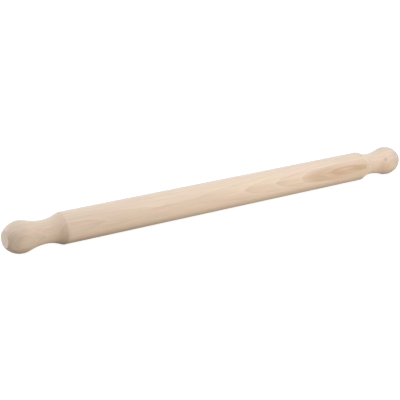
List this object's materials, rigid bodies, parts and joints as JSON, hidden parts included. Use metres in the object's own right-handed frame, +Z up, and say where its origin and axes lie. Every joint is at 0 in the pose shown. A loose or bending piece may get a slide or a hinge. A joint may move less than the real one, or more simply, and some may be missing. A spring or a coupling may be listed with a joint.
{
  "type": "rolling pin",
  "caption": "Slim rolling pin turned from solid wood: long straight barrel, sloped shoulders, hollowed necks and bulb-shaped hand ends cut flat at the tips.",
  "frame": {"origin": "middle of the pin, on its turning axis", "axes": "+X along the turning axis from one end flat to the other, +Z up as the pin lies on a table"},
  "size_m": [0.5, 0.032, 0.032],
  "materials": {
    "bare_wood": "sanded smooth, unfinished, matt"
  },
  "bodies": {
    "root": {"turned_pin": "bare_wood"}
  },
  "joints": []
}
